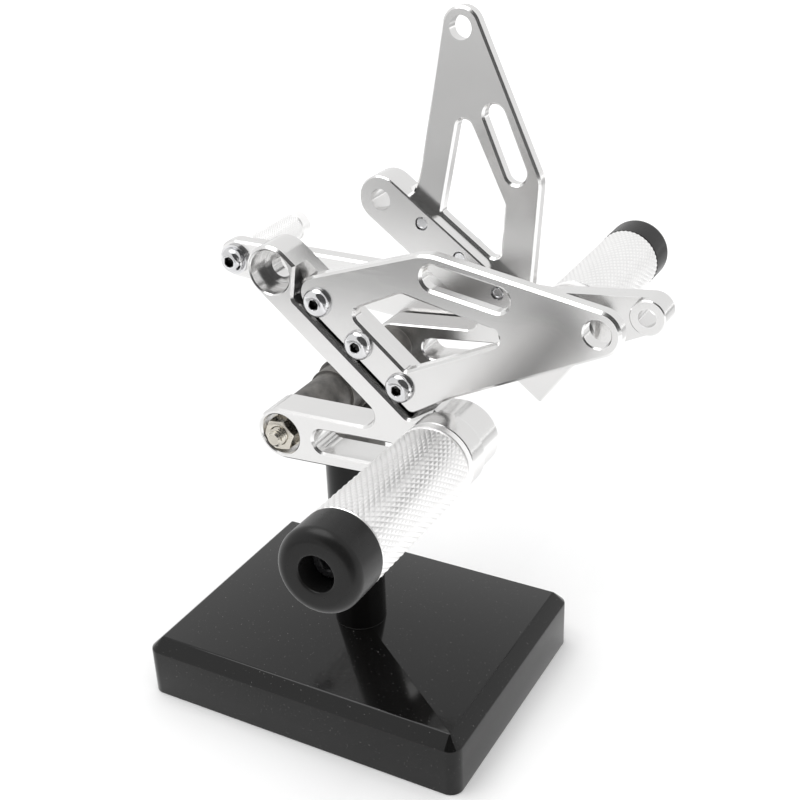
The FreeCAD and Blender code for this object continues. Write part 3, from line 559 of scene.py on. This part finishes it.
def footpeg(size, start, axis, side):
    """Knurled peg: a smooth neck, a groove, the knurl, and an inner end cut square."""
    radius, end = size.peg_radius / MM, (size.peg_reach - start) / MM
    around = 2 * round(math.pi * radius / (size.knurl_step / MM))
    low, high, groove = PEG_NECK + 0.3, end - PEG_END_BEVEL, radius - 0.75
    rows = 2 * round((high - low) / (2 * size.knurl_long / MM))
    step = (high - low) / rows
    grid = [(radius, low + i * step) for i in range(rows + 1)]
    profile = [(radius, -3.0), (radius, PEG_NECK - 0.95), (radius - 0.25, PEG_NECK - 0.8),
               (groove, PEG_NECK - 0.7), (groove, PEG_NECK - 0.25),
               (radius - 0.45, PEG_NECK), *grid, (radius - PEG_END_BEVEL, end),
               (PEG_SCREW_BORE, end), (PEG_SCREW_BORE, end - PEG_BORE_DEEP),
               (0, end - PEG_BORE_DEEP)]
    bm = lathe(profile, around)
    knurl(bm, low, rows, step, size.knurl_deep / MM, radius)
    # the peg leans, so its inner end is cut along the hanger's face, and the bolt's hole is square
    # to that face
    inward = frame_at((0, 0, 0), axis).to_3x3().inverted() @ Vector((0, side, 0))
    cut = bmesh.ops.bisect_plane(
        bm, geom=[*bm.verts, *bm.edges, *bm.faces], dist=1e-5,
        plane_co=(0, 0, 0), plane_no=inward, clear_inner=True, clear_outer=False)
    rim = [g for g in cut["geom_cut"] if isinstance(g, bmesh.types.BMEdge)]
    bore = bmesh.ops.create_circle(
        bm, cap_ends=False, radius=PEG_BOLT_BORE, segments=48,
        matrix=frame_at((0, 0, 0), inward))
    hole = list({e for v in bore["verts"] for e in v.link_edges})
    bmesh.ops.bridge_loops(bm, edges=rim + hole)
    deep = bmesh.ops.extrude_edge_only(bm, edges=hole)
    bottom = [g for g in deep["geom"] if isinstance(g, bmesh.types.BMVert)]
    bmesh.ops.translate(bm, verts=bottom, vec=inward * PEG_BORE_DEEP)
    bmesh.ops.contextual_create(bm, geom=[
        e for e in {e for v in bottom for e in v.link_edges} if all(v in bottom for v in e.verts)])
    return bm


def end_cap(size):
    """Moulded cap: a rounded rim, a shallow dished face and a deep screw hole."""
    radius, long, rim = size.peg_radius / MM, size.cap_long / MM, size.cap_round / MM
    soft = 0.3
    lip = arc((CAP_MOUTH + CAP_LIP, long - 0.8), CAP_LIP, 90, 180, 6)
    profile = [(PEG_SCREW_BORE, 0), (radius - soft, 0), (radius, soft),
               *arc((radius - rim, long - rim), rim, 0, 90, 16),
               (CAP_MOUTH + 1.6, long - 0.1), *lip, (CAP_MOUTH, CAP_WEB),
               (PEG_SCREW_BORE, CAP_WEB), (PEG_SCREW_BORE, 0)]
    return lathe(profile, 96)


def toe_peg(size):
    """Small knurled peg with a rounded tip."""
    radius, long, knurl_long, knurl_deep, tip, soft = 6.5, 41.0, 31.0, 0.28, 1.8, 0.4
    around = 2 * round(math.pi * radius / (size.toe_knurl_step / MM))
    step = 2 * math.pi * radius / around
    rows = int(knurl_long / step)
    rows -= rows % 2
    low = TOE_NECK + 0.1
    top = low + rows * step
    grid = [(radius, low + i * step) for i in range(rows + 1)]
    profile = [(PEG_SCREW_BORE, 0), (radius - soft, 0), (radius, soft),
               (radius, TOE_NECK - 0.8), (radius - 0.5, TOE_NECK - 0.4), *grid,
               (radius - 0.35, top + 0.45), (radius - 0.35, top + 0.9), (radius, top + 1.3),
               *arc((radius - tip, long - tip), tip, 0, 90, 8), (0, long)]
    bm = lathe(profile, around)
    knurl(bm, low, rows, step, knurl_deep, radius)
    bore = lathe([(PEG_SCREW_BORE, 0), (PEG_SCREW_BORE, TOE_BORE_DEEP), (0, TOE_BORE_DEEP)], around)
    add(bm, bore, Matrix.Identity(4))
    bmesh.ops.remove_doubles(bm, verts=bm.verts, dist=1e-3)
    return bm


def hexagon_nut(flats, tall, bore):
    """Nut with both ends chamfered round."""
    half, face, lead, edge, soft = flats / 2, flats / 2 * 0.95, 0.5, bore + 0.4, 0.15
    bm = lathe([(bore, lead), (edge, 0), (face, 0), (half, soft), (half, tall - soft),
                (face, tall), (edge, tall), (bore, tall - lead), (bore, lead)], 72)
    to_hexagon(ring_of(bm, half, soft), flats, -HEXAGON_SLOPE)
    to_hexagon(ring_of(bm, half, tall - soft), flats, HEXAGON_SLOPE)
    return bm


def cross_bolt(long, flats, tall, pitch):
    """Hexagon bolt whose tail is threaded; Z = 0 is under its head, and the shank runs down."""
    radius, core = 3.0 - 0.02, 3.0 - 0.42
    half, face, tip, soft = flats / 2, flats / 2 * 0.95, 0.6, 0.15
    threaded, turns = 20, 18.0
    bm = lathe([(0, -long), (core - tip, -long), (core, -long + tip), (core, -long + threaded),
                (radius, -long + threaded + 0.4), (radius, 0), (half, 0), (half, tall - soft),
                (face, tall), (0, tall)], 72)
    to_hexagon(ring_of(bm, half, 0), flats)
    to_hexagon(ring_of(bm, half, tall - soft), flats, HEXAGON_SLOPE)
    helix(bm, core, radius, pitch, -long + 0.9, turns)
    return bm


def base_block(size, low, high):
    """Display base: upright corners rounded, top bevelled, every edge softened."""
    corner, bevel, soft_angle = 5.0, 4.6, math.radians(25)
    bm = bmesh.new()
    bmesh.ops.create_cube(bm, size=1.0)
    bmesh.ops.scale(bm, vec=high - low, verts=bm.verts)
    bmesh.ops.translate(bm, vec=(low + high) / 2, verts=bm.verts)
    upright = [e for e in bm.edges if abs(e.verts[0].co.z - e.verts[1].co.z) > 1]
    bmesh.ops.bevel(bm, geom=upright, offset=corner, offset_type="OFFSET", segments=10,
                    profile=0.5, affect="EDGES", material=-1)
    rim = [e for e in bm.edges if min(v.co.z for v in e.verts) > high.z - NEAR]
    bmesh.ops.bevel(bm, geom=rim, offset=bevel, offset_type="OFFSET", segments=1,
                    profile=0.5, affect="EDGES", material=-1)
    soft = [e for e in bm.edges
            if len(e.link_faces) == 2 and e.calc_face_angle(0) > soft_angle]
    bmesh.ops.bevel(bm, geom=soft, offset=size.base_round / MM, offset_type="OFFSET", segments=3,
                    profile=0.5, affect="EDGES", material=-1)
    return bm


# ---- operators ------------------------------------------------------------

def peg_sets(size):
    """Side, name and start of each footpeg."""
    return ((LEFT, "left", size.left_peg_start), (RIGHT, "right", size.right_peg_start))


class FOOTREST_OT_pegs(bpy.types.Operator):
    """Build both knurled footpegs"""

    bl_idname = "footrest.pegs"
    bl_label = "Footpegs"

    def execute(self, context):
        size = context.scene.footrest_sizes
        for side, word, start in peg_sets(size):
            base, axis = peg_place(side, start / MM)
            piece(word + "_knurled_peg", footpeg(size, start, axis, side), frame_at(base, axis),
                  "knurled_aluminium", "stand_and_sets", [word + "_footpeg"],
                  KNURL_SHARP_ANGLE)
        return {"FINISHED"}


class FOOTREST_OT_caps(bpy.types.Operator):
    """Build both end caps with their screws"""

    bl_idname = "footrest.caps"
    bl_label = "End caps"

    def execute(self, context):
        size = context.scene.footrest_sizes
        for side, word, start in peg_sets(size):
            base, axis = peg_place(side, start / MM)
            end = base + axis * ((size.peg_reach - start) / MM)
            piece(word + "_moulded_cap", end_cap(size), frame_at(end, axis),
                  "black_plastic", "stand_and_sets", [word + "_end_cap"])
            screw = socket_screw(long=23.0, flats=5.0, radius=5.0, tall=3.6, thread=M6_RADIUS)
            piece(word + "_cap_fixing", screw, frame_at(end + axis * CAP_WEB, axis),
                  "black_steel", "stand_and_sets", [word + "_cap_screw"])
        return {"FINISHED"}


class FOOTREST_OT_plate_screws(bpy.types.Operator):
    """Build the three button screws of each adapter plate"""

    bl_idname = "footrest.plate_screws"
    bl_label = "Adapter screws"

    def execute(self, context):
        size = context.scene.footrest_sizes
        radius, tall = size.plate_head_radius / MM, size.plate_head_tall / MM
        for side, word in ((LEFT, "left"), (RIGHT, "right")):
            bm = bmesh.new()
            for u, turn in ((-SCREW_PITCH, 12.0), (0.0, 41.0), (SCREW_PITCH, 27.0)):
                shape = button_screw(long=10.2, flats=3.0, radius=radius, tall=tall,
                                     thread=M5_RADIUS)
                place = frame_at(set_point(side, u, SCREW_V, PLATE_FACE), (0, side, 0))
                add(bm, shape, place @ Matrix.Rotation(math.radians(turn), 4, "Z"))
            piece(word + "_button_screws", bm, Matrix.Identity(4), "stainless_steel",
                  "stand_and_sets", [word + "_adapter_screws"])
        return {"FINISHED"}


class FOOTREST_OT_toe(bpy.types.Operator):
    """Build the toe peg and its screw on the brake lever"""

    bl_idname = "footrest.toe"
    bl_label = "Toe peg"

    def execute(self, context):
        size = context.scene.footrest_sizes
        at = set_point(RIGHT, PEG_U, PEG_V, FACE) + TOE
        piece("knurled_toe_peg", toe_peg(size),
              frame_at(at + Vector((0, LEVER_BAR, 0)), (0, 1, 0)),
              "knurled_aluminium", "lever", ["toe_peg"], KNURL_SHARP_ANGLE)
        shape = button_screw(long=26.6, flats=4.0, radius=size.toe_head_radius / MM,
                             tall=size.toe_head_tall / MM, thread=M6_RADIUS)
        place = frame_at(at - Vector((0, TOE_WASHER, 0)), (0, -1, 0))
        piece("toe_button_screw", shape, place @ Matrix.Rotation(math.radians(20), 4, "Z"),
              "stainless_steel", "lever", ["toe_peg_screw"])
        return {"FINISHED"}


class FOOTREST_OT_cross_bolt(bpy.types.Operator):
    """Build the cross bolt and its nut"""

    bl_idname = "footrest.cross_bolt"
    bl_label = "Cross bolt"

    def execute(self, context):
        pitch = context.scene.footrest_sizes.thread_pitch / MM
        seat = FACE - EYE_DEEP + WASHER
        bolt = cross_bolt(2 * seat + NUT_TALL + BOLT_TAIL, NUT_FLATS, BOLT_HEAD, pitch)
        piece("threaded_cross_bolt", bolt, frame_at(STUD + Vector((0, seat, 0)), (0, 1, 0)),
              "plated_steel", "stand_and_sets", ["cross_bolt"])
        place = frame_at(STUD - Vector((0, seat, 0)), (0, -1, 0))
        piece("chamfered_nut", hexagon_nut(NUT_FLATS, NUT_TALL, NUT_BORE),
              place @ Matrix.Rotation(math.radians(8), 4, "Z"),
              "plated_steel", "stand_and_sets", ["cross_bolt_nut"])
        return {"FINISHED"}


class FOOTREST_OT_base(bpy.types.Operator):
    """Build the display base"""

    bl_idname = "footrest.base"
    bl_label = "Display base"

    def execute(self, context):
        low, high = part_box("display_base")
        piece("bevelled_base", base_block(context.scene.footrest_sizes, low / MM, high / MM),
              Matrix.Identity(4), "gloss_black", "stand_and_sets", ["display_base"],
              BASE_SHARP_ANGLE)
        return {"FINISHED"}


class FOOTREST_OT_finishes(bpy.types.Operator):
    """Give every node of the frame its finish"""

    bl_idname = "footrest.finishes"
    bl_label = "Frame finishes"

    def execute(self, context):
        for name, node in frame["nodes"].items():
            made = finish_of("post" if name == "display_post" else SLOTS[name])
            if not node.material_slots:
                node.data.materials.append(made)
            for slot in node.material_slots:
                slot.material = made
        return {"FINISHED"}


# ---- stage, in metres ------------------------------------------------------

# grey cards on the floor that the metal mirrors: name, corner, width, depth and tone
CARDS = (
    ("front_card", (-1.2, -1.62, 0.001), 1.12, 1.20, 0.58),
    ("dark_card", (-0.30, -0.54, 0.002), 0.235, 0.12, 0.10),
    ("side_card", (0.2, -1.62, 0.001), 1.2, 1.25, 0.50),
    ("back_card", (-1.2, 0.42, 0.001), 1.35, 1.20, 0.50),
    ("corner_card", (0.15, 0.70, 0.001), 1.2, 0.92, 0.60),
    ("corner_near", (0.15, 0.30, 0.001), 1.2, 0.40, 0.92),
)
FLOOR_HALF = 6.0
# where the floor's emission starts and ends, and how strong it gets: away from the stand, where it
# whitens the far floor, and towards the right of the picture, where it is painted light that lifts
# the shade beside the base
GLOW_AWAY, GLOW_RIGHT = (0.22, 1.1, 0.0, 0.45), (0.03, 0.16, 0.0, 0.35)
WORLD_SEEN, WORLD_FILL = 1.0, 0.86
ROOM_RADIUS, ROOM_CUT = 1.7, 1.30
ROOM_AHEAD = Vector((0.44, -0.78, 0.45))
WHITE = (1, 1, 1, 1)
# the photo's camera: its place in millimetres and the directions of its picture
CAMERA_PLACE = Vector((220.931, -352.632, 326.752))
CAMERA_RIGHT = Vector((0.87803328, 0.4773604, -0.03441809))
CAMERA_DOWN = Vector((0.18751809, -0.40929229, -0.89292597))
CAMERA_AHEAD = Vector((-0.44033456, 0.77756471, -0.44888596))
CAMERA_LENS, CAMERA_SENSOR = 57.847, 36.0


def mirrored_only(made):
    """Lets only the gloss see an object."""
    made.visible_camera = False
    made.visible_diffuse = False
    made.visible_shadow = False


class FOOTREST_OT_stage(bpy.types.Operator):
    """Set up the floor, the lights and the camera"""

    bl_idname = "footrest.stage"
    bl_label = "Stage"

    def floor(self, context):
        bm = bmesh.new()
        bmesh.ops.create_grid(bm, x_segments=1, y_segments=1, size=FLOOR_HALF)
        made = object_of("floor", bm)
        finish = Finish("floor", context.scene.footrest_colours.floor, 0.0, 0.8)
        mottle = finish.noise(3.0, 2.0)
        paper = finish.noise(900.0, 2.0)
        finish.height(paper, 0.1, 0.02)
        far = finish.nodes.new("ShaderNodeVectorMath")
        far.operation = "LENGTH"
        finish.links.new(finish.place, far.inputs[0])
        split = finish.nodes.new("ShaderNodeSeparateXYZ")
        finish.links.new(finish.place, split.inputs[0])
        # painted light: the floor glows brighter away from the stand and to the right of the base,
        # which lifts the base's shade there
        glow = finish.sums(finish.ranged(far.outputs["Value"], *GLOW_AWAY),
                           finish.ranged(split.outputs["X"], *GLOW_RIGHT))
        finish.links.new(glow, finish.shader.inputs["Emission Strength"])
        finish.shader.inputs["Emission Color"].default_value = WHITE
        made.data.materials.append(finish.done(mottle, 0.004, paper, 0.05))

    def world(self, context):
        """White behind the object and in its gloss, and a softer fill for everything else."""
        world = bpy.data.worlds.new("studio")
        context.scene.world = world
        world.use_nodes = True
        nodes, links = world.node_tree.nodes, world.node_tree.links
        seen = nodes["Background"]
        seen.inputs["Color"].default_value = WHITE
        seen.inputs["Strength"].default_value = WORLD_SEEN
        fill = nodes.new("ShaderNodeBackground")
        fill.inputs["Color"].default_value = WHITE
        fill.inputs["Strength"].default_value = WORLD_FILL
        path = nodes.new("ShaderNodeLightPath")
        any_one = nodes.new("ShaderNodeMath")
        any_one.operation = "MAXIMUM"
        any_two = nodes.new("ShaderNodeMath")
        any_two.operation = "MAXIMUM"
        links.new(path.outputs["Is Camera Ray"], any_one.inputs[0])
        links.new(path.outputs["Is Glossy Ray"], any_one.inputs[1])
        links.new(any_one.outputs[0], any_two.inputs[0])
        links.new(path.outputs["Is Transmission Ray"], any_two.inputs[1])
        mix = nodes.new("ShaderNodeMixShader")
        links.new(any_two.outputs[0], mix.inputs["Fac"])
        links.new(fill.outputs[0], mix.inputs[1])
        links.new(seen.outputs[0], mix.inputs[2])
        links.new(mix.outputs[0], nodes["World Output"].inputs["Surface"])

    def lamp(self, context, name, place, aim, size, power):
        """A round area lamp that points at a place."""
        data = bpy.data.lights.new(name, "AREA")
        data.shape = "DISK"
        data.size = size
        data.energy = power
        made = bpy.data.objects.new(name, data)
        made.location = place
        made.rotation_mode = "QUATERNION"
        made.rotation_quaternion = (Vector(aim) - Vector(place)).to_track_quat("-Z", "Y")
        context.scene.collection.objects.link(made)

    def card(self, name, corner, wide, deep, tone):
        """A grey card that lies on the floor."""
        bm = bmesh.new()
        bmesh.ops.create_grid(bm, x_segments=1, y_segments=1, size=0.5)
        place = Matrix.Diagonal((wide, deep, 1.0, 1.0))
        place.translation = Vector(corner) + Vector((wide, deep, 0.0)) / 2
        bm.transform(place)
        made = object_of(name, bm)
        finish = Finish(name, (tone, tone, tone, 1.0), 0.0, 0.9)
        felt = finish.noise(40.0, 2.0)
        made.data.materials.append(finish.done(felt, 0.1, felt, 0.05))
        mirrored_only(made)

    def room(self):
        """The dark room behind the camera: a cap of a globe."""
        bm = bmesh.new()
        bmesh.ops.create_uvsphere(bm, u_segments=48, v_segments=24, radius=ROOM_RADIUS)
        for point, normal in ((ROOM_AHEAD * ROOM_CUT, -ROOM_AHEAD), ((0, 0, 0.002), (0, 0, -1))):
            bmesh.ops.bisect_plane(
                bm, geom=[*bm.verts, *bm.edges, *bm.faces], plane_co=point,
                plane_no=normal, clear_outer=True, clear_inner=False)
        bmesh.ops.reverse_faces(bm, faces=bm.faces)
        made = object_of("room", bm)
        finish = Finish("room", (0.06, 0.06, 0.06, 1.0), 0.0, 0.9)
        felt = finish.noise(6.0, 2.0)
        made.data.materials.append(finish.done(felt, 0.2, felt, 0.05))
        mirrored_only(made)

    def camera(self, context):
        data = bpy.data.cameras.new("photo_camera")
        data.sensor_width = CAMERA_SENSOR
        data.lens = CAMERA_LENS
        data.clip_start, data.clip_end = 0.01, 40.0
        made = bpy.data.objects.new("photo_camera", data)
        place = Matrix((CAMERA_RIGHT, -CAMERA_DOWN, -CAMERA_AHEAD)).transposed().to_4x4()
        place.translation = CAMERA_PLACE * MM
        made.matrix_world = place
        context.scene.collection.objects.link(made)
        context.scene.camera = made

    def execute(self, context):
        context.scene.view_settings.view_transform = "Standard"
        self.floor(context)
        self.world(context)
        self.lamp(context, "overhead", place=(-0.25, -0.15, 1.1), aim=(0, 0, 0.1),
                  size=0.9, power=5.5)
        for name, corner, wide, deep, tone in CARDS:
            self.card(name, corner, wide, deep, tone)
        self.room()
        self.camera(context)
        return {"FINISHED"}


# ---- the add-on ------------------------------------------------------------

class FOOTREST_PT_panel(bpy.types.Panel):
    bl_label = "Footrest kit"
    bl_idname = "FOOTREST_PT_panel"
    bl_space_type = "VIEW_3D"
    bl_region_type = "UI"
    bl_category = "Footrests"

    def draw(self, context):
        for step in STEPS:
            self.layout.operator(step.bl_idname)
        for group in (context.scene.footrest_sizes, context.scene.footrest_colours):
            for key in group.bl_rna.properties.keys():
                if key not in ("rna_type", "name"):
                    self.layout.prop(group, key)


# the operators, in the order in which they run
STEPS = (
    FOOTREST_OT_pegs,
    FOOTREST_OT_caps,
    FOOTREST_OT_plate_screws,
    FOOTREST_OT_toe,
    FOOTREST_OT_cross_bolt,
    FOOTREST_OT_base,
    FOOTREST_OT_finishes,
    FOOTREST_OT_stage,
)
CLASSES = (FootrestSizes, FootrestColours, *STEPS, FOOTREST_PT_panel)


def register():
    for made in CLASSES:
        bpy.utils.register_class(made)
    bpy.types.Scene.footrest_sizes = PointerProperty(type=FootrestSizes)
    bpy.types.Scene.footrest_colours = PointerProperty(type=FootrestColours)


def unregister():
    del bpy.types.Scene.footrest_sizes
    del bpy.types.Scene.footrest_colours
    for made in reversed(CLASSES):
        bpy.utils.unregister_class(made)


def main():
    register()
    for step in STEPS:
        group, name = step.bl_idname.split(".")
        getattr(getattr(bpy.ops, group), name)()


if __name__ == "__main__":
    main()
